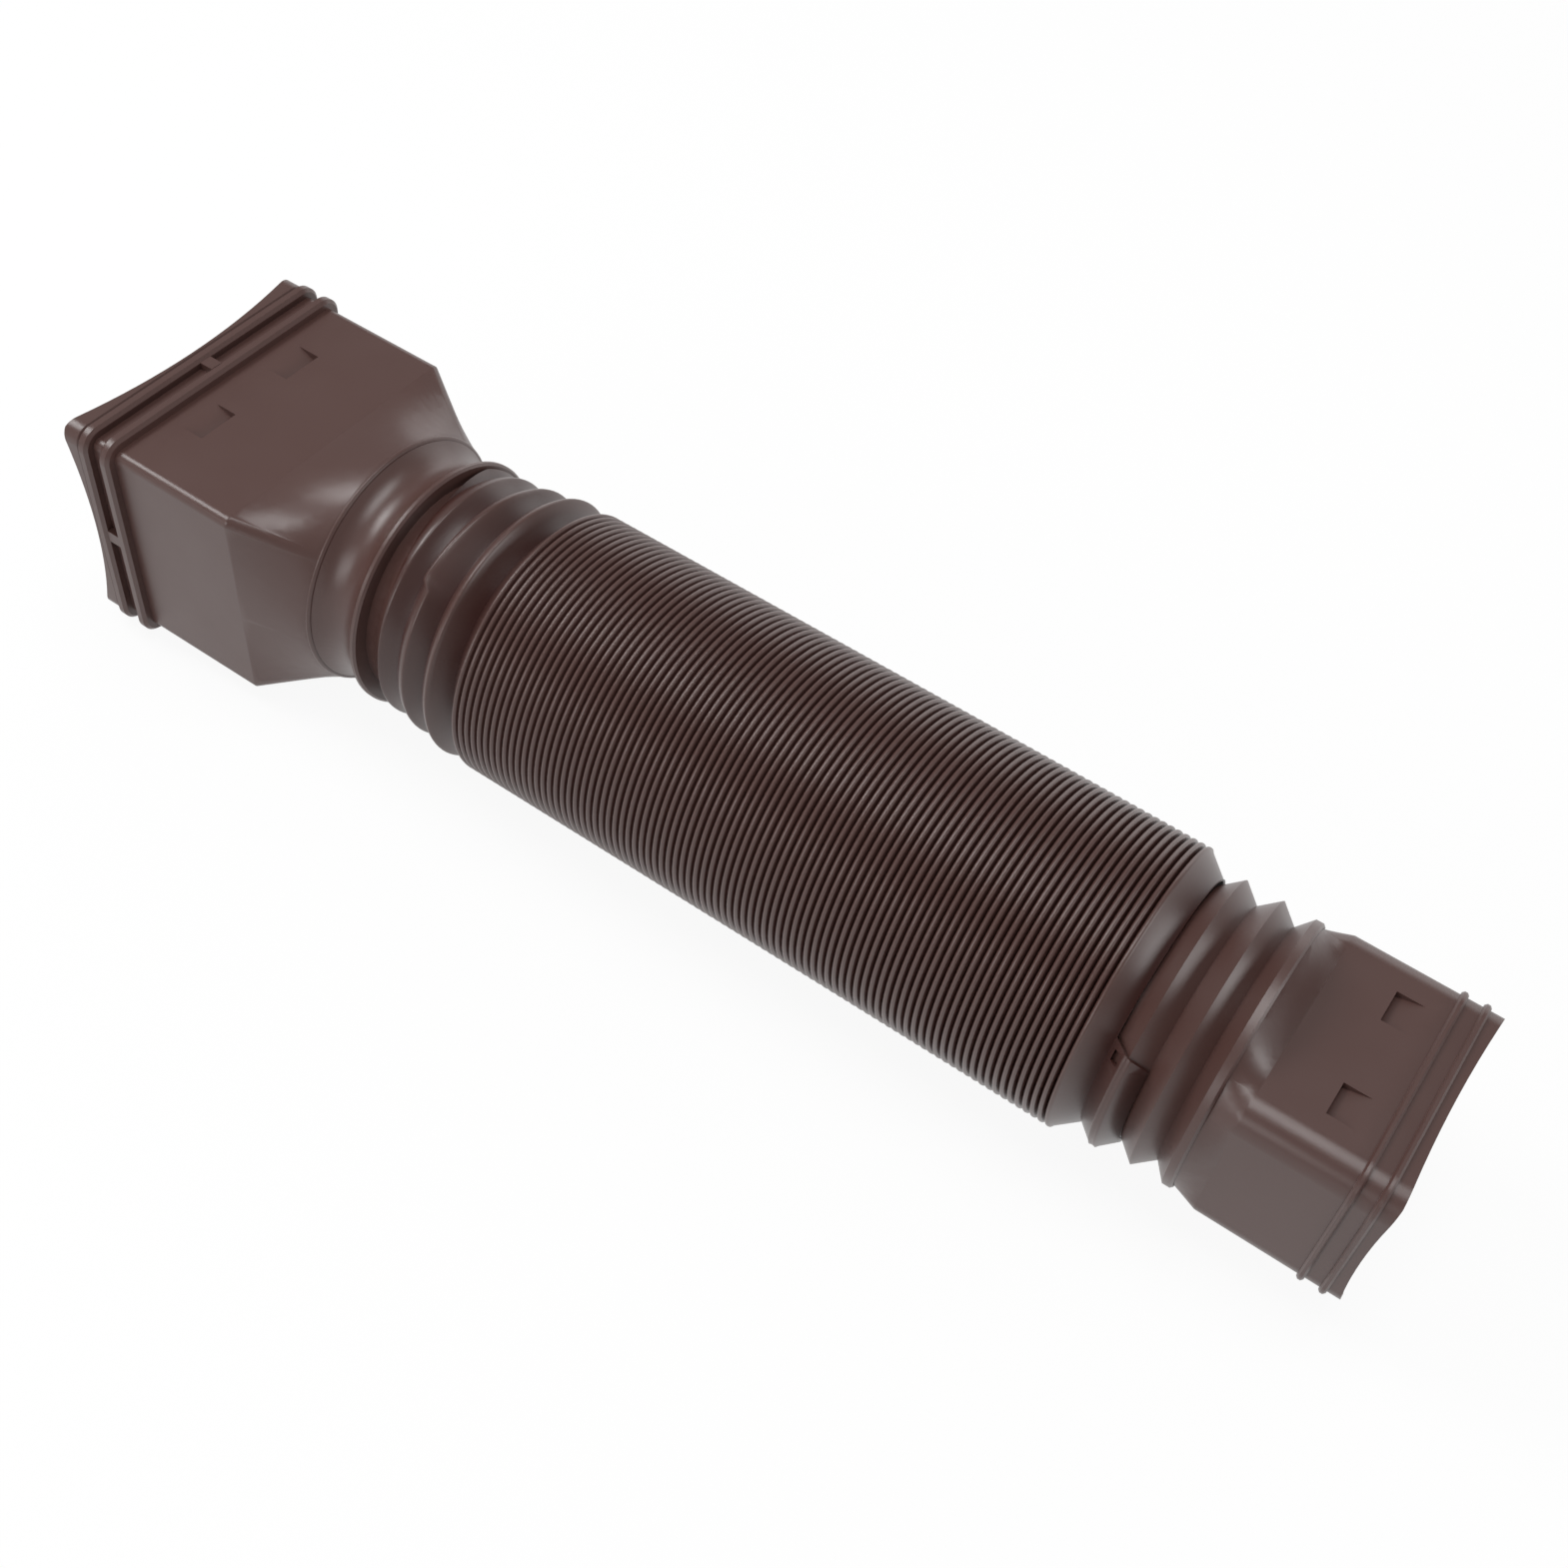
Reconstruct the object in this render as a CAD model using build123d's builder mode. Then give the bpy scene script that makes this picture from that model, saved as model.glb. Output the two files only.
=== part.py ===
"""Flexible downspout extension: a folded pipe between two rectangular couplings.

X runs along the pipe, from the large inlet coupling to the small outlet coupling.
Z is up. The origin is under the middle, on the surface that the pipe lies on.
"""
import os
from math import cos, radians, sin, sqrt

from build123d import *

os.makedirs("parts", exist_ok=True)

# Pipe: a thin plastic bellows, pushed together between a few open folds at each end.
# Its 87 closed folds are drawn as 20 wider ones.
pipe_radius = 52.5
pipe_wall = 1.3
stack_thickness = 8.0
folded_length = 242.0
fold_count = 20
fold_depth = 3.0
open_fold_height = 7.7
flat_spot_depth = 0.3

# Open folds beside the inlet: how far each crest stays under the pipe's radius, from the coupling on
inlet_fold_pitch = 12.6
inlet_crest_drops = (3.9, 2.3, 0.1)
valley_to_crest = 6.5

# The pipe is cut askew beside the inlet: close to the collar on the far side, and short of the first
# crest on the near side
cut_to_crest = 1.2

# The one open fold over the outlet neck
outlet_fold_pitch = 13.3
outlet_crest_drop = 1.9
folds_to_valley = 8.5

# The cut beside the outlet steps back by that one fold, over half of the way round
step_angle = 35.0
cut_past_valley = 0.6

# Clearance between the pipe and the ribbed necks that it is pushed onto
fit_gap = 0.4

# Couplings
coupling_wall = 1.7
neck_wall = 2.0
collar_drop = 3.1

# Inlet coupling, for a 108 x 83 mm downspout
inlet_width = 111.7
inlet_height = 87.3
inlet_corner_radius = 3.5
inlet_box_length = 53.0
inlet_shoulder_length = 27.6
shoulder_ring_drop = 3.9
ring_step_height = 1.2
ring_step_length = 1.2
cove_length = 19.9
cove_depth = 4.1
collar_width = 2.0
collar_to_valley = 4.0

# Rim of the inlet: a lip and two rails with a channel between them
lip_length = 8.0
lip_height = 2.4
inlet_scallop = 6.0
rail_width = 4.8
rail_height = 3.8
rail_corner_radius = 8.0
rail_bevel = 1.2
channel_width = 5.8
web_width = 5.0
web_under_rail = 1.0

# Outlet coupling, for an 82 x 60 mm downspout
outlet_width = 87.0
outlet_height = 65.0
outlet_corner_radius = 10.0
outlet_scallop = 1.6
outlet_box_length = 51.0
outlet_shoulder_length = 9.0
outlet_shoulder_drop = 5.3
outlet_collar_drop = 3.8
outlet_collar_width = 3.4
valley_to_collar = 4.8
collar_bevel = 0.8
bead_height = 1.5
bead_width = 2.4
bead_bevel = 0.7
bead_spacing = 7.6
mouth_to_bead = 6.0

# Ramped stops pressed into the wide faces of both couplings
stop_length = 9.5
inlet_stop_depth = 3.8
inlet_stop_width = 17.0
inlet_stop_spacing = 43.0
inlet_stop_from_shoulder = 36.0
outlet_stop_depth = 2.6
outlet_stop_width = 13.0
outlet_stop_spacing = 40.5
outlet_stop_from_shoulder = 19.5

# Share of the neck circle that each flat face of a box runs into
flat_arc_angle = 10.0

# Radii about the pipe axis that follow the pipe
pipe_bore_radius = pipe_radius - stack_thickness
open_fold_valley = pipe_radius - open_fold_height
collar_radius = pipe_radius - collar_drop
cove_start_radius = pipe_radius - shoulder_ring_drop
shoulder_ring_radius = cove_start_radius + ring_step_height
outlet_shoulder_radius = pipe_radius - outlet_shoulder_drop
outlet_collar_radius = pipe_radius - outlet_collar_drop

# Stations along X, counted from the mouth of the inlet
rail_1 = lip_length
channel = rail_1 + rail_width
rail_2 = channel + channel_width
inlet_box = rail_2 + rail_width
inlet_shoulder = inlet_box + inlet_box_length
inlet_ring = inlet_shoulder + inlet_shoulder_length
inlet_cove = inlet_ring + ring_step_length
inlet_collar = inlet_ring + cove_length
inlet_collar_end = inlet_collar + collar_width
pipe_start = inlet_collar_end + fit_gap
inlet_valley = inlet_collar_end + collar_to_valley
first_crest = inlet_valley + valley_to_crest
folds_start = first_crest + len(inlet_crest_drops) * inlet_fold_pitch
folds_end = folds_start + folded_length
outlet_valley = folds_end + folds_to_valley
outlet_ridge = outlet_valley + outlet_fold_pitch / 2
pipe_end = outlet_valley + outlet_fold_pitch
neck_ridge = pipe_end + outlet_fold_pitch / 2
neck_valley = pipe_end + outlet_fold_pitch
outlet_collar = neck_valley + valley_to_collar
outlet_collar_end = outlet_collar + outlet_collar_width
outlet_box = outlet_collar_end + outlet_shoulder_length
outlet_mouth = outlet_box + outlet_box_length

# The pipe lies on its folds, and the model is centred along X
axis_height = pipe_radius - flat_spot_depth
middle = outlet_mouth / 2
pipe_axis = Axis((0, 0, axis_height), (1, 0, 0))
side_view = Plane(origin=(0, 0, axis_height), x_dir=(1, 0, 0), z_dir=(0, -1, 0))
plan_view = Plane(origin=(0, 0, axis_height), x_dir=(1, 0, 0), z_dir=(0, 0, 1))


def cross_plane(station):
    """Plane square to the pipe axis, at a station counted from the inlet mouth."""
    return Plane(origin=(station - middle, 0, axis_height), x_dir=(0, 1, 0), z_dir=(1, 0, 0))


def box_outline(width, height, corner):
    """Rounded rectangle of eight edges, starting at the right end of the lower side."""
    y, z = width / 2, height / 2
    flat_y, flat_z = y - corner, z - corner
    slant = corner / sqrt(2)
    Line((-flat_y, -z), (flat_y, -z))
    ThreePointArc((flat_y, -z), (flat_y + slant, -flat_z - slant), (y, -flat_z))
    Line((y, -flat_z), (y, flat_z))
    ThreePointArc((y, flat_z), (flat_y + slant, flat_z + slant), (flat_y, z))
    Line((flat_y, z), (-flat_y, z))
    ThreePointArc((-flat_y, z), (-flat_y - slant, flat_z + slant), (-y, flat_z))
    Line((-y, flat_z), (-y, -flat_z))
    ThreePointArc((-y, -flat_z), (-flat_y - slant, -flat_z - slant), (-flat_y, -z))


def ring_outline(radius):
    """Circle of eight arcs that answer the eight edges of a box outline."""

    def at(angle):
        return (radius * cos(radians(angle)), radius * sin(radians(angle)))

    half = flat_arc_angle / 2
    for side in (-90, 0, 90, 180):
        ThreePointArc(at(side - half), at(side), at(side + half))
        ThreePointArc(at(side + half), at(side + 45), at(side + 90 - half))


def box_face(station, width, height, corner):
    with BuildSketch(cross_plane(station)) as face:
        with BuildLine():
            box_outline(width, height, corner)
        make_face()
    return face.sketch


def ring_face(station, radius):
    with BuildSketch(cross_plane(station)) as face:
        with BuildLine():
            ring_outline(radius)
        make_face()
    return face.sketch


def revolved(points):
    """Body of revolution about the pipe axis, from (station, radius) points."""
    with BuildSketch(side_view) as section:
        with BuildLine():
            Polyline(*[(station - middle, radius) for station, radius in points], close=True)
        make_face()
    revolve(section.sketch, axis=pipe_axis)


def thickened(outline, wall):
    """Closed section between an outline and its copy one wall nearer the axis."""
    return outline + [(station, radius - wall) for station, radius in reversed(outline)]


def edges_beyond(new_edges, width, height):
    """Edges across the pipe axis that stand outside a box of this width and height."""
    margin = coupling_wall / 10

    def outside(edge):
        place = edge.center()
        return abs(place.Y) > width / 2 + margin or abs(place.Z - axis_height) > height / 2 + margin

    return new_edges.filter_by(Plane.YZ).filter_by(outside)


def hollow_mouth(station, inward, width, height, tip_inset, depth):
    """Hollow the four edges of a mouth, so that the tips of its corners stand furthest out."""
    end = station - middle
    for view, across in ((plan_view, width), (side_view, height)):
        tip = across / 2 - tip_inset
        with BuildSketch(view.offset(-width)) as hollow:
            with BuildLine():
                ThreePointArc((end, -tip), (end + inward * depth, 0), (end, tip))
                Polyline((end, tip), (end - inward, tip), (end - inward, -tip), (end, -tip))
            make_face()
        extrude(hollow.sketch, amount=2 * width, mode=Mode.SUBTRACT)


def rim_edges(new_edges, radius):
    """Circular edges of one radius about the pipe axis."""
    return new_edges.filter_by(GeomType.CIRCLE).filter_by(lambda edge: abs(edge.radius - radius) < 0.01)


def stop_wedge(deep_end, flush_end, depth, width, offset, outer_half_height, side, mode):
    """Wedge under a wide face, deep at one station and running out at the other."""
    face_height = side * outer_half_height
    with BuildSketch(side_view.offset(-offset - width / 2)) as wedge:
        with BuildLine():
            Polyline(
                (deep_end - middle, face_height),
                (deep_end - middle, face_height - side * depth),
                (flush_end - middle, face_height),
                close=True,
            )
        make_face()
    extrude(wedge.sketch, amount=width, mode=mode)


def ramped_stops(deep_end, direction, depth, width, spacing, half_height):
    """Two stops on each wide face: a boss on the inside, then the hollow on the outside."""
    flush_end = deep_end + direction * stop_length
    slope = depth / stop_length
    boss_end = deep_end - direction * coupling_wall
    boss_depth = depth + coupling_wall * (1 + slope)
    boss_flush = boss_end + direction * boss_depth / slope
    for side in (1, -1):
        for offset in (-spacing / 2, spacing / 2):
            boss_width = width + 2 * coupling_wall
            place = (offset, half_height, side)
            stop_wedge(boss_end, boss_flush, boss_depth, boss_width, *place, Mode.ADD)
            stop_wedge(deep_end, flush_end, depth, width, *place, Mode.SUBTRACT)


# Outer line of the open folds beside the inlet, from the pipe's cut end to the closed folds
first_slope = (pipe_radius - inlet_crest_drops[0] - open_fold_valley) / valley_to_crest
pipe_start_radius = open_fold_valley + first_slope * (inlet_valley - pipe_start)
inlet_folds = [(pipe_start, pipe_start_radius), (inlet_valley, open_fold_valley)]
for index, drop in enumerate(inlet_crest_drops):
    crest_station = first_crest + index * inlet_fold_pitch
    inlet_folds.append((crest_station, pipe_radius - drop))
    inlet_folds.append((crest_station + inlet_fold_pitch / 2, open_fold_valley))

# Outer line of the open fold over the outlet neck
outlet_folds = [
    (outlet_valley, open_fold_valley),
    (outlet_ridge, pipe_radius - outlet_crest_drop),
    (pipe_end, open_fold_valley),
]

# Flexible pipe: the open folds are one wall thick and the pushed-together folds stand as a stack
with BuildPart() as flexible_pipe:
    fold_pitch = folded_length / fold_count
    folds = []
    for index in range(fold_count):
        crest_station = folds_start + index * fold_pitch
        folds.append((crest_station, pipe_radius))
        folds.append((crest_station + fold_pitch / 2, pipe_radius - fold_depth))
    folds.append((folds_end, pipe_radius))
    inside = [(station, radius - pipe_wall) for station, radius in reversed(inlet_folds)]
    outside_end = [(station, radius - pipe_wall) for station, radius in reversed(outlet_folds)]
    bore = [(folds_end, pipe_bore_radius), (folds_start, pipe_bore_radius)]
    revolved(inlet_folds + folds + outlet_folds + outside_end + bore + inside)
    # the folds are flattened a little along the line that the pipe lies on
    split(bisect_by=Plane.XY)
    # the askew cut beside the inlet
    near_cut = first_crest - cut_to_crest
    cut_middle = (pipe_start + near_cut) / 2 - middle
    cut_normal = (2 * open_fold_valley, near_cut - pipe_start, 0)
    split(bisect_by=Plane(origin=(cut_middle, 0, axis_height), z_dir=cut_normal))
    # the stepped cut beside the outlet
    step_normal = (0, sin(radians(step_angle)), cos(radians(step_angle)))
    with BuildSketch(Plane(origin=(0, 0, axis_height), x_dir=(1, 0, 0), z_dir=step_normal)) as cut_fold:
        with BuildLine():
            stepped_cut = outlet_valley + cut_past_valley - middle
            beyond_pipe = pipe_end + cut_past_valley - middle
            inner, outer = pipe_bore_radius - pipe_wall, pipe_radius + pipe_wall
            Polyline(
                (stepped_cut, inner), (stepped_cut, outer), (beyond_pipe, outer), (beyond_pipe, inner), close=True
            )
        make_face()
    revolve(cut_fold.sketch, axis=pipe_axis, revolution_arc=180, mode=Mode.SUBTRACT)

flexible_pipe.part.label = "flexible_pipe"
export_step(flexible_pipe.part, "parts/flexible_pipe.step")

# Inlet coupling: box, shoulder that turns the box into a ring, cove, collar and ribbed neck
neck_step = pipe_wall + fit_gap
inlet_neck = [(station, radius - neck_step) for station, radius in inlet_folds[1:6]]
inlet_neck_start = (inlet_collar_end, inlet_neck[0][1])

with BuildPart() as inlet_coupling:
    extrude(box_face(0, inlet_width, inlet_height, inlet_corner_radius), amount=inlet_shoulder)
    lip_corner_radius = rail_corner_radius - rail_height + lip_height
    lip = box_face(0, inlet_width + 2 * lip_height, inlet_height + 2 * lip_height, lip_corner_radius)
    extrude(lip, amount=lip_length)
    lip_edges = edges_beyond(edges(Select.LAST), inlet_width, inlet_height)
    chamfer(lip_edges.group_by(Axis.X)[-1], length=rail_bevel)
    width_over_rails = inlet_width + 2 * rail_height
    height_over_rails = inlet_height + 2 * rail_height
    for rail in (rail_1, rail_2):
        extrude(box_face(rail, width_over_rails, height_over_rails, rail_corner_radius), amount=rail_width)
        rail_edges = edges_beyond(edges(Select.LAST), inlet_width, inlet_height)
        chamfer(rail_edges, length=rail_bevel)
    width_over_webs = width_over_rails - 2 * web_under_rail
    height_over_webs = height_over_rails - 2 * web_under_rail
    for width, height in ((web_width, height_over_webs), (width_over_webs, web_width)):
        with BuildSketch(cross_plane(channel)):
            Rectangle(width, height)
        extrude(amount=channel_width)
    loft(
        [
            box_face(inlet_shoulder, inlet_width, inlet_height, inlet_corner_radius),
            ring_face(inlet_ring, shoulder_ring_radius),
        ],
        ruled=True,
    )
    # the inside of the box and of the shoulder, one wall in
    inner_width = inlet_width - 2 * coupling_wall
    inner_height = inlet_height - 2 * coupling_wall
    inner_corner = inlet_corner_radius - coupling_wall
    extrude(box_face(0, inner_width, inner_height, inner_corner), amount=inlet_shoulder, mode=Mode.SUBTRACT)
    loft(
        [
            box_face(inlet_shoulder, inner_width, inner_height, inner_corner),
            ring_face(inlet_ring, shoulder_ring_radius - coupling_wall),
        ],
        ruled=True,
        mode=Mode.SUBTRACT,
    )
    # the shoulder ends in a small step down into the cove
    revolved(thickened([(inlet_ring, shoulder_ring_radius), (inlet_cove, cove_start_radius)], coupling_wall))
    # the cove is a shallow hollow ring that ends in the collar
    with BuildSketch(side_view):
        with BuildLine():
            cove_middle = (inlet_cove + inlet_collar) / 2 - middle
            cove_radius_at_bottom = cove_start_radius - cove_depth
            start, end = inlet_cove - middle, inlet_collar - middle
            ThreePointArc(
                (start, cove_start_radius),
                (cove_middle, cove_radius_at_bottom),
                (end, collar_radius),
            )
            Line((end, collar_radius), (end, collar_radius - coupling_wall))
            ThreePointArc(
                (end, collar_radius - coupling_wall),
                (cove_middle, cove_radius_at_bottom - coupling_wall),
                (start, cove_start_radius - coupling_wall),
            )
            Line((start, cove_start_radius - coupling_wall), (start, cove_start_radius))
        make_face()
    revolve(axis=pipe_axis)
    collar_inside = inlet_neck_start[1] - neck_wall
    revolved(
        [
            (inlet_collar, collar_radius),
            (inlet_collar_end, collar_radius),
            (inlet_collar_end, collar_inside),
            (inlet_collar, collar_radius - coupling_wall),
        ]
    )
    chamfer(rim_edges(edges(), collar_radius).sort_by(Axis.X)[-1], length=collar_bevel)
    revolved(thickened([inlet_neck_start] + inlet_neck, neck_wall))
    inlet_stop = inlet_shoulder - inlet_stop_from_shoulder
    ramped_stops(inlet_stop, -1, inlet_stop_depth, inlet_stop_width, inlet_stop_spacing, inlet_height / 2)
    lip_tip_inset = lip_corner_radius * (1 - 1 / sqrt(2)) - lip_height
    hollow_mouth(0, 1, inlet_width, inlet_height, lip_tip_inset, inlet_scallop)

inlet_coupling.part.label = "inlet_coupling"
export_step(inlet_coupling.part, "parts/inlet_coupling.step")

# Outlet coupling: ribbed neck, collar, short shoulder and box with two beads round its mouth
outlet_neck = [(station, radius - neck_step) for station, radius in outlet_folds]
neck_crest = outlet_neck[1][1]
neck_root = outlet_neck[2][1]
outlet_neck += [(neck_ridge, neck_crest), (neck_valley, neck_root), (outlet_collar, outlet_collar_radius)]

with BuildPart() as outlet_coupling:
    revolved(thickened(outlet_neck, neck_wall))
    revolved(
        [
            (outlet_collar, outlet_collar_radius),
            (outlet_collar_end, outlet_collar_radius),
            (outlet_collar_end, outlet_shoulder_radius - coupling_wall),
            (outlet_collar, outlet_collar_radius - neck_wall),
        ]
    )
    chamfer(rim_edges(edges(), outlet_collar_radius).sort_by(Axis.X)[-1], length=collar_bevel)
    loft(
        [
            ring_face(outlet_collar_end, outlet_shoulder_radius),
            box_face(outlet_box, outlet_width, outlet_height, outlet_corner_radius),
        ],
        ruled=True,
    )
    extrude(box_face(outlet_box, outlet_width, outlet_height, outlet_corner_radius), amount=outlet_box_length)
    for bead in (outlet_mouth - mouth_to_bead, outlet_mouth - mouth_to_bead - bead_spacing):
        over_width = outlet_width + 2 * bead_height
        over_height = outlet_height + 2 * bead_height
        over_corner = outlet_corner_radius + bead_height
        extrude(box_face(bead - bead_width / 2, over_width, over_height, over_corner), amount=bead_width)
        bead_edges = edges_beyond(edges(Select.LAST), outlet_width, outlet_height)
        chamfer(bead_edges, length=bead_bevel)
    # the inside of the shoulder and of the box, one wall in
    inner_ring = ring_face(outlet_collar_end, outlet_shoulder_radius - coupling_wall)
    inner_box = box_face(
        outlet_box,
        outlet_width - 2 * coupling_wall,
        outlet_height - 2 * coupling_wall,
        outlet_corner_radius - coupling_wall,
    )
    loft([inner_ring, inner_box], ruled=True, mode=Mode.SUBTRACT)
    extrude(inner_box, amount=outlet_box_length, mode=Mode.SUBTRACT)
    outlet_stop = outlet_box + outlet_stop_from_shoulder
    ramped_stops(outlet_stop, 1, outlet_stop_depth, outlet_stop_width, outlet_stop_spacing, outlet_height / 2)
    box_tip_inset = outlet_corner_radius * (1 - 1 / sqrt(2))
    hollow_mouth(outlet_mouth, -1, outlet_width, outlet_height, box_tip_inset, outlet_scallop)

outlet_coupling.part.label = "outlet_coupling"
export_step(outlet_coupling.part, "parts/outlet_coupling.step")
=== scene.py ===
from math import atan2, cos, hypot, radians, sin

import bmesh
import bpy
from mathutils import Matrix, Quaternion, Vector


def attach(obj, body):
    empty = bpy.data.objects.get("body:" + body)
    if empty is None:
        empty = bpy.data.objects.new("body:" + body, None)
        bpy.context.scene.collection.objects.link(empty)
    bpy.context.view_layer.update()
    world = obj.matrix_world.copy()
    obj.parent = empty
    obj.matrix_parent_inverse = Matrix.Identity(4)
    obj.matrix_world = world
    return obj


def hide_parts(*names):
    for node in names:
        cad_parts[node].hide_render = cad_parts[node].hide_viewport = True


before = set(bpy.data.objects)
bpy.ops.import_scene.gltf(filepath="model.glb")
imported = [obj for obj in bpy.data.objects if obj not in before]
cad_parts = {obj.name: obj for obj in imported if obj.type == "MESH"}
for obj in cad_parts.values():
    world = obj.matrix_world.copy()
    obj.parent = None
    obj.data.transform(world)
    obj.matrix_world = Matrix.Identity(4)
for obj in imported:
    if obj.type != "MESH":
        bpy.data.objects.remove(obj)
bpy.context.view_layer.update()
millimetre = 0.001


# Inlet coupling: the large rectangular end, one thin-walled moulding in satin brown vinyl. Its rim is
# stiffened by a lip and two rails, and its shoulder turns the box into the round neck for the pipe.

# Smallest turn between two faces that still reads as a crisp moulded edge
crisp_edge = radians(38)

# Distance under which two points are taken as one
one_point = 0.001 * millimetre


def moulding(node, name):
    """Smooth-shaded copy of a moulded piece, with its crisp edges kept."""
    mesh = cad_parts[node].data.copy()
    mesh.name = name
    shape = bmesh.new()
    shape.from_mesh(mesh)
    bmesh.ops.remove_doubles(shape, verts=shape.verts, dist=2 * one_point)
    bmesh.ops.dissolve_degenerate(shape, edges=shape.edges, dist=one_point)
    for face in shape.faces:
        face.smooth = True
    for edge in shape.edges:
        edge.smooth = edge.is_manifold and edge.calc_face_angle() < crisp_edge
    shape.to_mesh(mesh)
    shape.free()
    piece = bpy.data.objects.new(name, mesh)
    bpy.context.scene.collection.objects.link(piece)
    evened = piece.modifiers.new("even shading", "WEIGHTED_NORMAL")
    evened.keep_sharp = True
    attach(piece, "root")
    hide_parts(node)
    return piece


def moulded_surface():
    """Fine unevenness of a blown plastic wall: slow shade changes, patchy gloss and a soft grain."""
    group = bpy.data.node_groups.new("moulded surface", "ShaderNodeTree")
    sockets = group.interface
    sockets.new_socket("Deep Colour", in_out="INPUT", socket_type="NodeSocketColor")
    sockets.new_socket("Pale Colour", in_out="INPUT", socket_type="NodeSocketColor")
    sockets.new_socket("Gloss Low", in_out="INPUT", socket_type="NodeSocketFloat")
    sockets.new_socket("Gloss High", in_out="INPUT", socket_type="NodeSocketFloat")
    sockets.new_socket("Grain", in_out="INPUT", socket_type="NodeSocketFloat")
    sockets.new_socket("Colour", in_out="OUTPUT", socket_type="NodeSocketColor")
    sockets.new_socket("Roughness", in_out="OUTPUT", socket_type="NodeSocketFloat")
    sockets.new_socket("Height", in_out="OUTPUT", socket_type="NodeSocketFloat")
    nodes, links = group.nodes, group.links
    given = nodes.new("NodeGroupInput")
    result = nodes.new("NodeGroupOutput")
    place = nodes.new("ShaderNodeTexCoord")

    def noise(scale, detail):
        pattern = nodes.new("ShaderNodeTexNoise")
        pattern.inputs["Scale"].default_value = scale
        pattern.inputs["Detail"].default_value = detail
        links.new(place.outputs["Object"], pattern.inputs["Vector"])
        return pattern.outputs["Fac"]

    clouds = noise(scale=14, detail=3)
    colour = nodes.new("ShaderNodeMix")
    colour.data_type = "RGBA"
    links.new(clouds, colour.inputs["Factor"])
    links.new(given.outputs["Deep Colour"], colour.inputs["A"])
    links.new(given.outputs["Pale Colour"], colour.inputs["B"])
    links.new(colour.outputs["Result"], result.inputs["Colour"])

    patches = noise(scale=60, detail=4)
    gloss = nodes.new("ShaderNodeMapRange")
    links.new(patches, gloss.inputs["Value"])
    links.new(given.outputs["Gloss Low"], gloss.inputs["To Min"])
    links.new(given.outputs["Gloss High"], gloss.inputs["To Max"])
    links.new(gloss.outputs["Result"], result.inputs["Roughness"])

    grain = noise(scale=900, detail=2)
    height = nodes.new("ShaderNodeMath")
    height.operation = "MULTIPLY"
    links.new(grain, height.inputs[0])
    links.new(given.outputs["Grain"], height.inputs[1])
    links.new(height.outputs["Value"], result.inputs["Height"])
    return group


surface_group = moulded_surface()

# The two shades between which the vinyl drifts, on the couplings and the pipe alike
deep_brown = (0.066, 0.031, 0.026)
pale_brown = (0.080, 0.039, 0.033)


def brown_vinyl(name, gloss_low, gloss_high, grain):
    """Satin brown vinyl, with a range of roughness and a depth of grain."""
    material = bpy.data.materials.new(name)
    material.use_nodes = True
    nodes, links = material.node_tree.nodes, material.node_tree.links
    plastic = nodes["Principled BSDF"]
    surface = nodes.new("ShaderNodeGroup")
    surface.node_tree = surface_group
    surface.inputs["Deep Colour"].default_value = (*deep_brown, 1)
    surface.inputs["Pale Colour"].default_value = (*pale_brown, 1)
    surface.inputs["Gloss Low"].default_value = gloss_low
    surface.inputs["Gloss High"].default_value = gloss_high
    surface.inputs["Grain"].default_value = grain
    plastic.inputs["Specular IOR Level"].default_value = 0.6
    bump = nodes.new("ShaderNodeBump")
    bump.inputs["Strength"].default_value = 0.3
    bump.inputs["Distance"].default_value = 0.0001
    links.new(surface.outputs["Colour"], plastic.inputs["Base Color"])
    links.new(surface.outputs["Roughness"], plastic.inputs["Roughness"])
    links.new(surface.outputs["Height"], bump.inputs["Height"])
    links.new(bump.outputs["Normal"], plastic.inputs["Normal"])
    return material


coupling_vinyl = brown_vinyl("coupling vinyl", gloss_low=0.30, gloss_high=0.40, grain=0.5)
inlet_coupling = moulding("inlet_coupling", "inlet_moulding")
inlet_coupling.data.materials.clear()
inlet_coupling.data.materials.append(coupling_vinyl)

# Height of the common axis of the pipe and both necks above the ground, in millimetres
axis_height = 52.2

# Flats round each ring that is spun about it
round_steps = 96


def spun_about_axis(section):
    """Ring spun about the axis from a closed section, with its points as (station, radius) in millimetres."""
    shape = bmesh.new()
    corners = [
        shape.verts.new((station * millimetre, 0, (axis_height + radius) * millimetre))
        for station, radius in section
    ]
    edges = [shape.edges.new((a, b)) for a, b in zip(corners, corners[1:] + corners[:1])]
    bmesh.ops.spin(
        shape,
        geom=corners + edges,
        cent=(0, 0, axis_height * millimetre),
        axis=(1, 0, 0),
        angle=radians(360),
        steps=round_steps,
        use_merge=True,
    )
    bmesh.ops.remove_doubles(shape, verts=shape.verts, dist=one_point)
    return shape


def finished_piece(shape, name, material):
    """Object at the origin with the finished shape as its mesh, in one material."""
    mesh = bpy.data.meshes.new(name)
    shape.to_mesh(mesh)
    shape.free()
    mesh.materials.append(material)
    piece = bpy.data.objects.new(name, mesh)
    bpy.context.scene.collection.objects.link(piece)
    return piece


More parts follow.
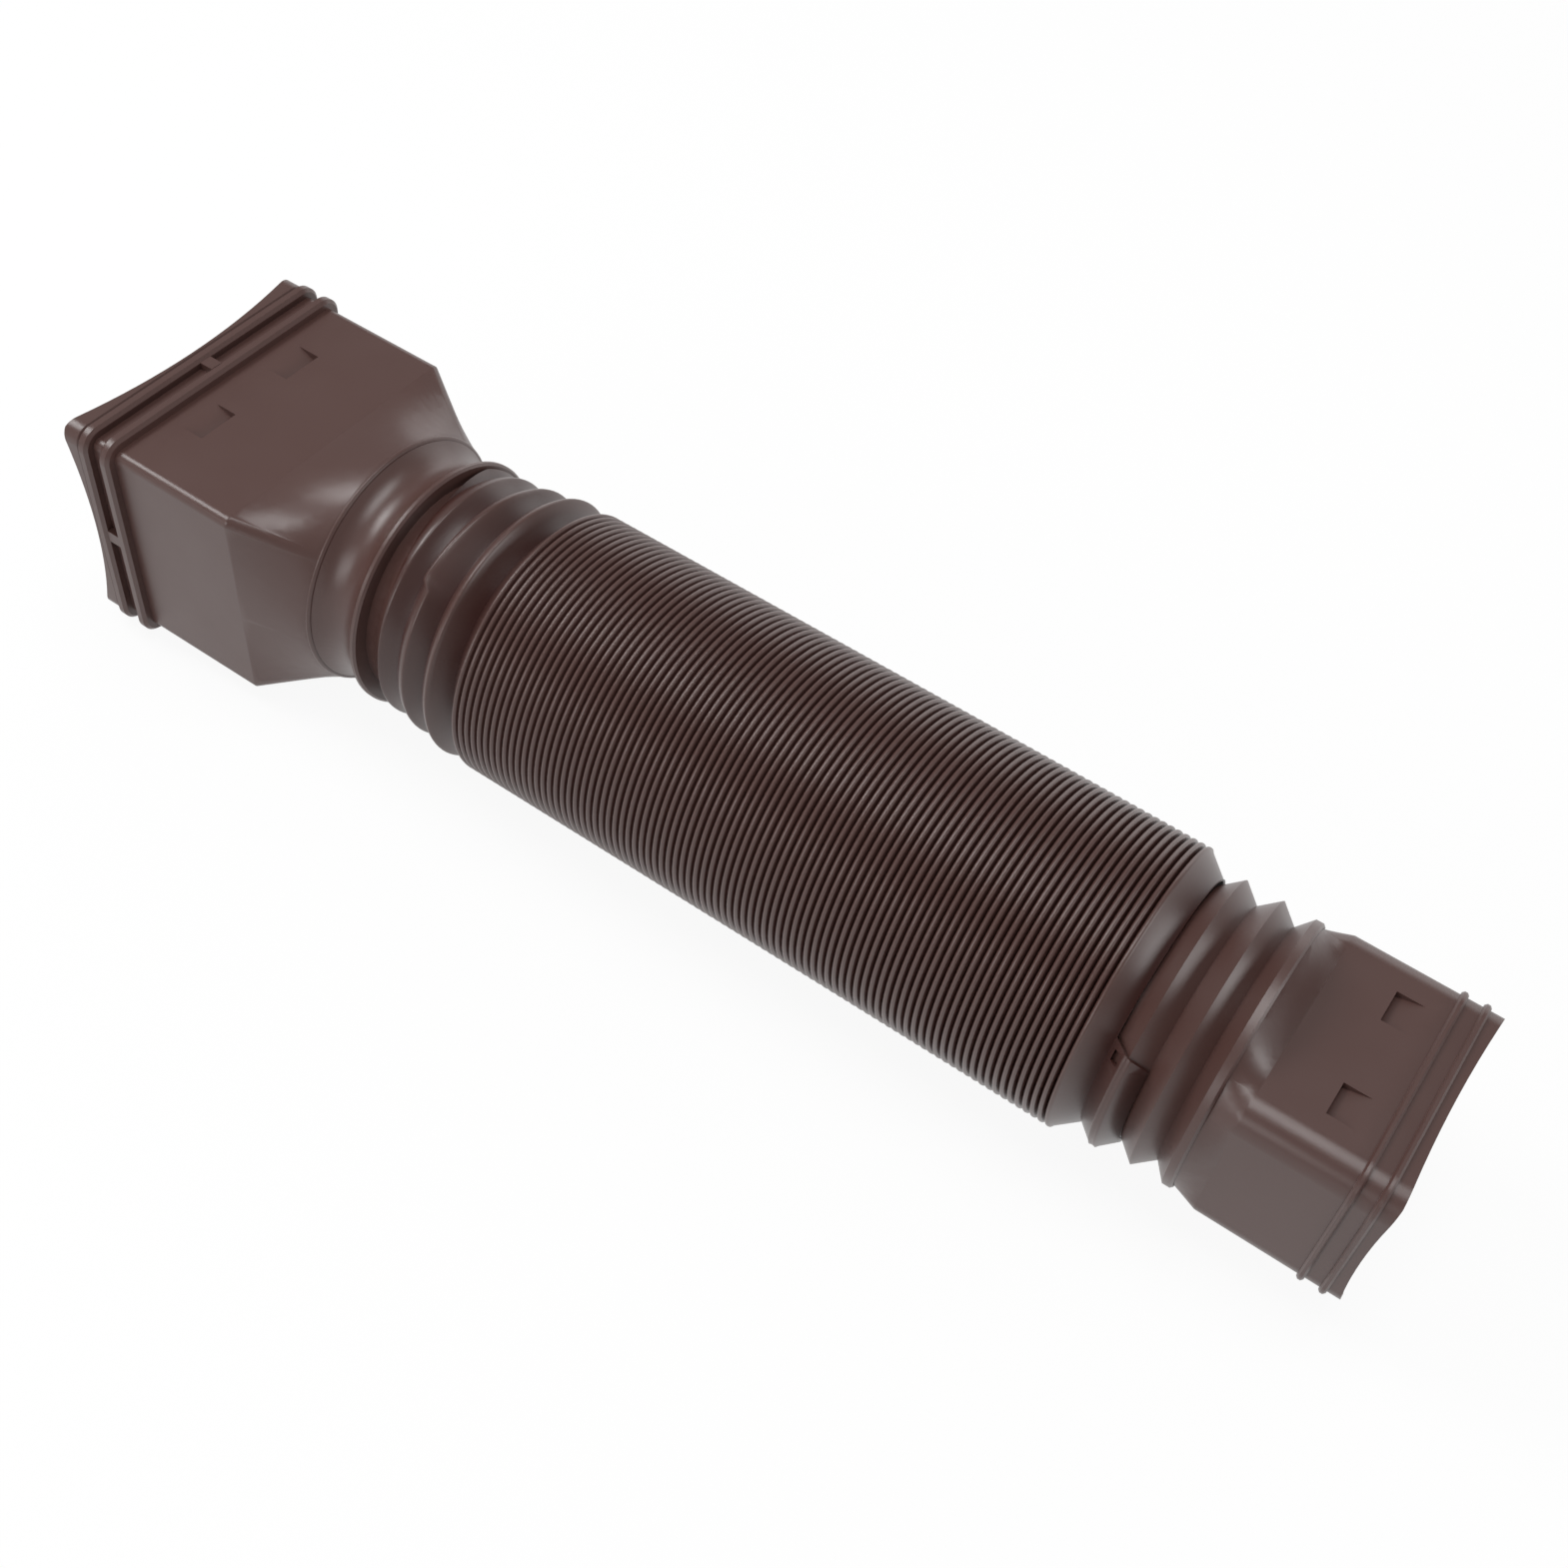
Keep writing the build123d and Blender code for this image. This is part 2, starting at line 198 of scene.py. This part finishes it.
# The fine lip that stands where the shoulder drops into the cove. Its section counts from the shoulder's
# end, along the axis and out from it.
shoulder_end = -155.75
shoulder_end_radius = 49.8
lip_section = (
    (-1.3, -0.4),
    (-0.7, 0.06),
    (-0.3, 0.24),
    (0, 0.3),
    (0.4, 0.12),
    (0.85, -0.5),
    (1.2, -1.5),
    (-0.3, -1.0),
)
lip_shape = spun_about_axis(
    [(shoulder_end + along, shoulder_end_radius + rise) for along, rise in lip_section]
)
bmesh.ops.recalc_face_normals(lip_shape, faces=lip_shape.faces)
for face in lip_shape.faces:
    face.smooth = True
shoulder_lip = finished_piece(lip_shape, "shoulder_lip", coupling_vinyl)
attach(shoulder_lip, "root")


# Flexible pipe: one thin bellows blown from the same vinyl. Most of its folds are pushed together into a
# close stack, and a few at each end stay open where they pass over the ribbed necks of the couplings.

# The stack of closed folds: stations along the axis and radii about it, in millimetres
stack_start = -85.55
stack_length = 242.0
stack_folds = 87
fold_pitch = stack_length / (stack_folds - 1)
rib_radius = 52.5
groove_floor = 47.5
bore_crest = 45.6
bore_groove = 44.5

# Section of a closed rib: distance along the axis from its crest, and drop from it
rib_section = ((-0.95, 0.85), (-0.5, 0.12), (0, 0), (0.5, 0.12), (0.95, 0.85))

# The open folds over the inlet's neck, each with its station and the radius of its crest
wall = 1.3
valley = 44.8
open_crests = ((-123.35, 48.6), (-110.75, 50.2), (-98.15, 52.4))
crest_to_valley = 6.3
inlet_end = (-134.5, 48.6)
inlet_valley = -129.85

# Section of an open fold, with a full left side, a fine crest and a hollow right side: distance along the
# axis from the crest, and height as a share of the fold's own
fold_section = (
    (-4.6, 0.45),
    (-2.8, 0.78),
    (-1.2, 0.95),
    (-0.4, 0.995),
    (0, 1),
    (0.35, 0.96),
    (0.9, 0.82),
    (3.2, 0.38),
)

# The last fold, over the outlet's neck
outlet_valley = 164.95
outlet_valley_outside = 45.3
outlet_valley_inside = 44.6
outlet_ridge = 171.6
outlet_crest = 50.0
outlet_end = 178.25

# Its crest, pinched into two fine lines: distance along the axis from the ridge, and radius
pinched_crest = ((-1.5, 49.55), (-1.0, 50.2), (-0.5, 50.0), (0.5, 50.0), (1.0, 50.2), (1.5, 49.55))

# The cut beside the inlet: its station above the axis, how far it leans to either side, and the station
# of the collar, which it stays clear of
cut_on_top = -129.9
cut_lean = 6.0
cut_limit = -133.3

# The cut beside the outlet, which steps back by one fold from this angle on, counted up from the near side,
# and how much the ends of the step slant
stepped_cut = 165.2
step_angle = radians(35)
step_slant = 0.4

# The tear beside the step, between two stations and two angles, and how far round it the wall is recut
tear_stations = (166.6, 169.2)
tear_angles = (radians(26), radians(31))
tear_margin = 5

# The kink: how far the second crest stands over to the left, the angle where it starts, the sweep over
# which it comes back in line, and how far it reaches to either side of the crest
kink_shift = 3.5
kink_start = radians(50.6)
kink_sweep = radians(64)
kink_reach = 6.0

# Smallest turn between two faces of the pipe that reads as a torn or cut edge
crisp_cut = radians(75)


def open_fold(station, crest):
    """Outer line of one open fold, as (station, radius)."""
    return [(station + along, valley + share * (crest - valley)) for along, share in fold_section]


def closed_rib(station):
    """Outer line of one closed rib, with the floor of the groove behind it."""
    line = [(station + along, rib_radius - drop) for along, drop in rib_section]
    line.append((station + fold_pitch / 2, groove_floor))
    return line


def sliced(shape, geometry, place, normal):
    """New edges where a plane passes through this part of the shape."""
    bmesh.ops.bisect_plane(shape, geom=geometry, dist=one_point, plane_co=place, plane_no=normal)


def whole(shape):
    """All corners, edges and faces of the shape."""
    return shape.verts[:] + shape.edges[:] + shape.faces[:]


def around(faces):
    """These faces, with their corners and edges."""
    verts = {vert for face in faces for vert in face.verts}
    edges = {edge for face in faces for edge in face.edges}
    return list(verts) + list(edges) + faces


def close_rims(shape):
    """Wall between the outer and the inner rim of each open cut."""
    bmesh.ops.bridge_loops(shape, edges=[edge for edge in shape.edges if edge.is_boundary])


def cut_askew(shape):
    """Askew cut of the pipe's end beside the inlet, kept off the collar, with the wall closed over."""
    cuts = (
        (Vector((cut_on_top, 0, axis_height)) * millimetre, Vector((valley, cut_lean, 0))),
        (Vector((cut_limit, 0, axis_height)) * millimetre, Vector((1, 0, 0))),
    )
    for place, normal in cuts:
        sliced(shape, whole(shape), place, normal)
    spare = []
    for face in shape.faces:
        middle = face.calc_center_median()
        if any((middle - place).dot(normal) < 0 for place, normal in cuts):
            spare.append(face)
    bmesh.ops.delete(shape, geom=spare, context="FACES")
    close_rims(shape)


def cut_in_a_step(shape):
    """Cut beside the outlet that leaves out the last fold over half of the way round."""
    place = Vector((stepped_cut, 0, axis_height)) * millimetre
    along = Vector((1, 0, 0))
    away = Vector((step_slant, sin(step_angle), cos(step_angle)))
    sideways = away.cross(along)
    near = 5 * one_point
    sliced(shape, whole(shape), place, along)
    last_fold = [face for face in shape.faces if face.calc_center_median().x > place.x]
    sliced(shape, around(last_fold), place, away)
    spare = []
    for face in shape.faces:
        middle = face.calc_center_median() - place
        if middle.x > 0 and middle.dot(away) > 0:
            spare.append(face)
    bmesh.ops.delete(shape, geom=spare, context="FACES")

    rims = [edge for edge in shape.edges if edge.is_boundary]
    arcs = [edge for edge in rims if all(abs(vert.co.x - place.x) < near for vert in edge.verts)]
    profiles = [edge for edge in rims if edge not in arcs]
    corners = []
    for vert in {vert for edge in rims for vert in edge.verts}:
        on_arc = abs(vert.co.x - place.x) < near
        on_profile = abs((vert.co - place).dot(away)) < near
        if on_arc and on_profile:
            corners.append(vert)
    bmesh.ops.bridge_loops(shape, edges=arcs)
    for side in (1, -1):
        pair = [vert for vert in corners if side * (vert.co - place).dot(sideways) > 0]
        wall_edge = shape.edges.get(pair)
        profile = [edge for edge in profiles if side * (edge.verts[0].co - place).dot(sideways) > 0]
        bmesh.ops.triangle_fill(shape, use_beauty=True, edges=profile + [wall_edge])


def tear_through(shape):
    """Small tear through the wall of the last fold, beside the step in the cut."""
    axis = Vector((0, 0, axis_height)) * millimetre
    start, end = tear_stations[0] * millimetre, tear_stations[1] * millimetre
    low, high = tear_angles
    sides = (
        (Vector((start, 0, axis.z)), Vector((1, 0, 0))),
        (Vector((end, 0, axis.z)), Vector((1, 0, 0))),
        (axis, Vector((0, sin(low), cos(low)))),
        (axis, Vector((0, sin(high), cos(high)))),
    )

    def within(face, margin):
        """Whether a face lies in the tear, or up to so many millimetres and degrees beside it."""
        middle = face.calc_center_median()
        angle = atan2(middle.z - axis.z, -middle.y)
        along = start - margin * millimetre < middle.x < end + margin * millimetre
        return along and low - radians(margin) < angle < high + radians(margin)

    for place, normal in sides:
        sliced(shape, around([face for face in shape.faces if within(face, tear_margin)]), place, normal)
    bmesh.ops.delete(shape, geom=[face for face in shape.faces if within(face, 0)], context="FACES")
    close_rims(shape)


def kink(shape, station, crest):
    """Crest that stands over to the left from one point on, and comes back in line further round."""
    for vert in shape.verts:
        height = vert.co.z - axis_height * millimetre
        share = (hypot(vert.co.y, height) / millimetre - valley) / (crest - valley)
        turned = (atan2(height, -vert.co.y) - kink_start) / kink_sweep
        if abs(vert.co.x / millimetre - station) < kink_reach and share > 0 and 0 < turned < 1:
            vert.co.x -= kink_shift * millimetre * min(share, 1) ** 2 * (1 - turned)


outside = [inlet_end, (inlet_valley, valley)]
neck_side = [(inlet_end[0], inlet_end[1] - wall), (inlet_valley, valley - wall)]
for station, crest in open_crests:
    outside += open_fold(station, crest)
    outside.append((station + crest_to_valley, valley))
    neck_side.append((station, crest - wall))
    neck_side.append((station + crest_to_valley, valley - wall))
for fold in range(stack_folds):
    station = stack_start + fold * fold_pitch
    outside += closed_rib(station)
    neck_side.append((station, bore_crest))
    neck_side.append((station + fold_pitch / 2, bore_groove))
outside[-1] = (outlet_valley, outlet_valley_outside)
outside += [(outlet_ridge + along, radius) for along, radius in pinched_crest]
outside.append((outlet_end, valley))
neck_side[-1] = (outlet_valley, outlet_valley_inside)
neck_side += [(outlet_ridge, outlet_crest - wall), (outlet_end, valley - wall)]

pipe_shape = spun_about_axis(outside + list(reversed(neck_side)))
cut_askew(pipe_shape)
cut_in_a_step(pipe_shape)
tear_through(pipe_shape)
bmesh.ops.recalc_face_normals(pipe_shape, faces=pipe_shape.faces)

# The soft folds give a little where the pipe lies on the ground
for vert in pipe_shape.verts:
    vert.co.z = max(vert.co.z, 0)
kink(pipe_shape, *open_crests[1])
for face in pipe_shape.faces:
    face.smooth = True
for edge in pipe_shape.edges:
    edge.smooth = edge.calc_face_angle(0) < crisp_cut
pipe_vinyl = brown_vinyl("pipe vinyl", gloss_low=0.28, gloss_high=0.38, grain=0.4)
bellows_pipe = finished_piece(pipe_shape, "bellows_pipe", pipe_vinyl)

# Painted shade: the colour of the pipe is painted darker toward the floor of its grooves and folds, for the
# shade that falls in them. It is at its darkest and back to its own colour at these radii, in millimetres.
groove_shade_brown = (0.042, 0.014, 0.011)
darkest_shade_radius = 46.0
unshaded_radius = 52.3
pipe_nodes, pipe_links = pipe_vinyl.node_tree.nodes, pipe_vinyl.node_tree.links
pipe_place = pipe_nodes.new("ShaderNodeTexCoord")
from_axis = pipe_nodes.new("ShaderNodeVectorMath")
from_axis.operation = "SUBTRACT"
from_axis.inputs[1].default_value = (0, 0, axis_height * millimetre)
across = pipe_nodes.new("ShaderNodeVectorMath")
across.operation = "MULTIPLY"
across.inputs[1].default_value = (0, 1, 1)
pipe_radius = pipe_nodes.new("ShaderNodeVectorMath")
pipe_radius.operation = "LENGTH"
shade_depth = pipe_nodes.new("ShaderNodeMapRange")
shade_depth.inputs["From Min"].default_value = darkest_shade_radius * millimetre
shade_depth.inputs["From Max"].default_value = unshaded_radius * millimetre
# Painted shade: the vinyl's colour mixes toward the dark shade brown as the radius falls
shaded = pipe_nodes.new("ShaderNodeMix")
shaded.data_type = "RGBA"
shaded.inputs["A"].default_value = (*groove_shade_brown, 1)
pipe_links.new(pipe_place.outputs["Object"], from_axis.inputs[0])
pipe_links.new(from_axis.outputs["Vector"], across.inputs[0])
pipe_links.new(across.outputs["Vector"], pipe_radius.inputs[0])
pipe_links.new(pipe_radius.outputs["Value"], shade_depth.inputs["Value"])
pipe_links.new(shade_depth.outputs["Result"], shaded.inputs["Factor"])
pipe_surface = next(node for node in pipe_nodes if node.bl_idname == "ShaderNodeGroup")
pipe_links.new(pipe_surface.outputs["Colour"], shaded.inputs["B"])
pipe_links.new(shaded.outputs["Result"], pipe_nodes["Principled BSDF"].inputs["Base Color"])
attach(bellows_pipe, "root")
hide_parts("flexible_pipe")


# Outlet coupling: the small rectangular end, one moulding like the inlet, with two beads round its mouth
# and a short shoulder. Its ribbed neck stays in sight between the pipe's cut end and its own collar.

outlet_coupling = moulding("outlet_coupling", "outlet_moulding")
outlet_coupling.data.materials.clear()
outlet_coupling.data.materials.append(coupling_vinyl)


# Studio: a pale floor that shows nearly white to the camera, soft light from five sides, and the camera
# at the photograph's angle.

floor_material = bpy.data.materials.new("pale floor")
floor_material.use_nodes = True
floor_nodes, floor_links = floor_material.node_tree.nodes, floor_material.node_tree.links
floor_paint = floor_nodes["Principled BSDF"]
floor_paint.inputs["Base Color"].default_value = (0.85, 0.85, 0.85, 1)
floor_paint.inputs["Roughness"].default_value = 0.9
floor_paint.inputs["Specular IOR Level"].default_value = 0.1
floor_white = floor_nodes.new("ShaderNodeEmission")
floor_white.inputs["Strength"].default_value = 1.0
floor_rays = floor_nodes.new("ShaderNodeLightPath")
floor_mirrored = floor_nodes.new("ShaderNodeMath")
floor_mirrored.operation = "MAXIMUM"
floor_links.new(floor_rays.outputs["Is Glossy Ray"], floor_mirrored.inputs[0])
floor_links.new(floor_rays.outputs["Is Transmission Ray"], floor_mirrored.inputs[1])
floor_shown = floor_nodes.new("ShaderNodeMath")
floor_shown.operation = "MAXIMUM"
floor_links.new(floor_rays.outputs["Is Camera Ray"], floor_shown.inputs[0])
floor_links.new(floor_mirrored.outputs["Value"], floor_shown.inputs[1])

# Share of what the camera sees of the floor that is plain white, and not its lit paint
white_share = 0.92
floor_seen = floor_nodes.new("ShaderNodeMath")
floor_seen.operation = "MULTIPLY"
floor_seen.inputs[1].default_value = white_share
floor_mix = floor_nodes.new("ShaderNodeMixShader")
floor_links.new(floor_shown.outputs["Value"], floor_seen.inputs[0])
floor_links.new(floor_seen.outputs["Value"], floor_mix.inputs["Fac"])
floor_links.new(floor_paint.outputs["BSDF"], floor_mix.inputs[1])
floor_links.new(floor_white.outputs["Emission"], floor_mix.inputs[2])
floor_links.new(floor_mix.outputs["Shader"], floor_nodes["Material Output"].inputs["Surface"])

# Distance in metres from the middle of the floor to each of its sides
floor_reach = 4
floor_shape = bmesh.new()
bmesh.ops.create_grid(floor_shape, x_segments=1, y_segments=1, size=floor_reach)
floor = finished_piece(floor_shape, "floor", floor_material)

world = bpy.data.worlds.new("studio")
bpy.context.scene.world = world
world.use_nodes = True
world.node_tree.nodes["Background"].inputs["Color"].default_value = (1, 1, 1, 1)
world.node_tree.nodes["Background"].inputs["Strength"].default_value = 0.32

# The middle of the pipe, which every lamp faces
lamp_target = Vector((0, 0, 0.05))


def softbox(name, place, width, height, power):
    """Rectangular area lamp that faces the pipe, all in metres and watts."""
    light = bpy.data.lights.new(name, "AREA")
    light.shape = "RECTANGLE"
    light.size = width
    light.size_y = height
    light.energy = power
    lamp = bpy.data.objects.new(name, light)
    lamp.location = place
    aim = lamp_target - Vector(place)
    lamp.rotation_euler = aim.to_track_quat("-Z", "Y").to_euler()
    bpy.context.scene.collection.objects.link(lamp)


softbox("overhead softbox", (0.1, 0.0, 1.6), width=1.0, height=0.55, power=10)
softbox("left softbox", (-1.1, -0.2, 1.2), width=0.6, height=0.6, power=10)
softbox("right softbox", (1.5, 0.4, 0.48), width=0.8, height=0.35, power=5)
softbox("back softbox", (-0.2, 1.6, 0.5), width=2.4, height=0.8, power=8)
softbox("front softbox", (-0.4, -1.5, 0.7), width=1.2, height=0.6, power=8)

camera_data = bpy.data.cameras.new("camera")
camera_data.sensor_width = 36
camera_data.lens = 44.79
camera = bpy.data.objects.new("camera", camera_data)
camera.location = (0.2270, -0.3761, 0.5757)
camera_target = Vector((0.0191, -0.0002, 0.0525))
camera_roll = Quaternion((0, 0, 1), radians(7.27))
camera_turn = (camera_target - camera.location).to_track_quat("-Z", "Y") @ camera_roll
camera.rotation_euler = camera_turn.to_euler()
bpy.context.scene.collection.objects.link(camera)
bpy.context.scene.camera = camera
bpy.context.scene.view_settings.view_transform = "Standard"
